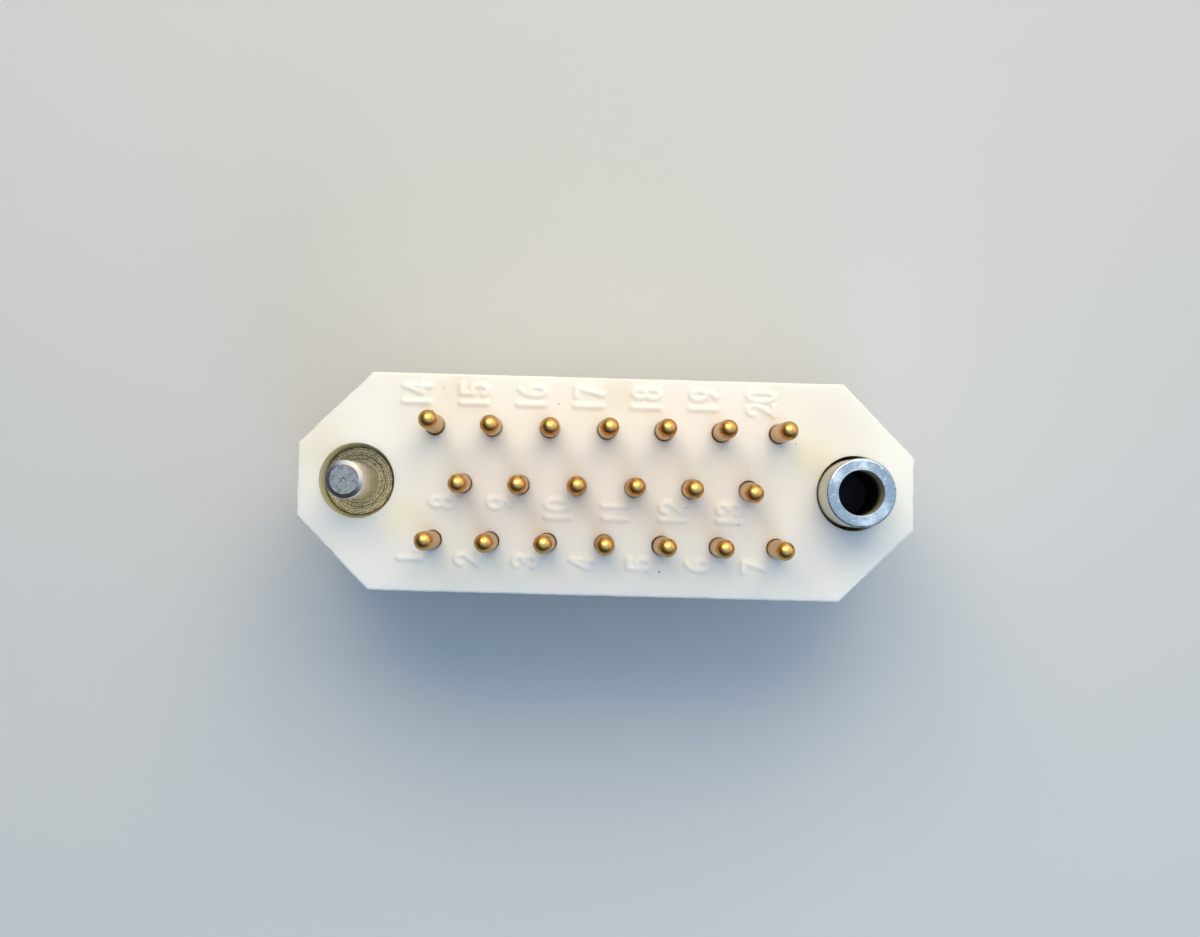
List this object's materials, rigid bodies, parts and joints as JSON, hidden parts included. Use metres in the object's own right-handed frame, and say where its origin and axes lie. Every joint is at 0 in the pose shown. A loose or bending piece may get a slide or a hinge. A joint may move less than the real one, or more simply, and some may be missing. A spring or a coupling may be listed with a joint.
{
  "type": "printed circuit board connector",
  "caption": "Board-mounted plug: ivory moulded block with cut corners, staggered rows of gold round-nosed pins, solder tails, a guide pin at one end and a guide socket at the other.",
  "frame": {"origin": "centre of the insulator's board face", "axes": "+Z from the board face to the mating side, +X along the contact rows from the guide pin to the guide socket, +Y from the first numbered row to the last"},
  "size_m": [0.0342, 0.012, 0.0202],
  "materials": {
    "insulator": "moulded, slightly translucent ivory",
    "contact": "turned and gold plated",
    "guide_metal": "turned, dull"
  },
  "bodies": {
    "root": {"insulator": "insulator", "guide_pin": "guide_metal", "guide_socket": "guide_metal", "contact_01": "contact", "contact_02": "contact", "contact_03": "contact", "contact_04": "contact", "contact_05": "contact", "contact_06": "contact", "contact_07": "contact", "contact_08": "contact", "contact_09": "contact", "contact_10": "contact", "contact_11": "contact", "contact_12": "contact", "contact_13": "contact", "contact_14": "contact", "contact_15": "contact", "contact_16": "contact", "contact_17": "contact", "contact_18": "contact", "contact_19": "contact", "contact_20": "contact"}
  },
  "joints": []
}
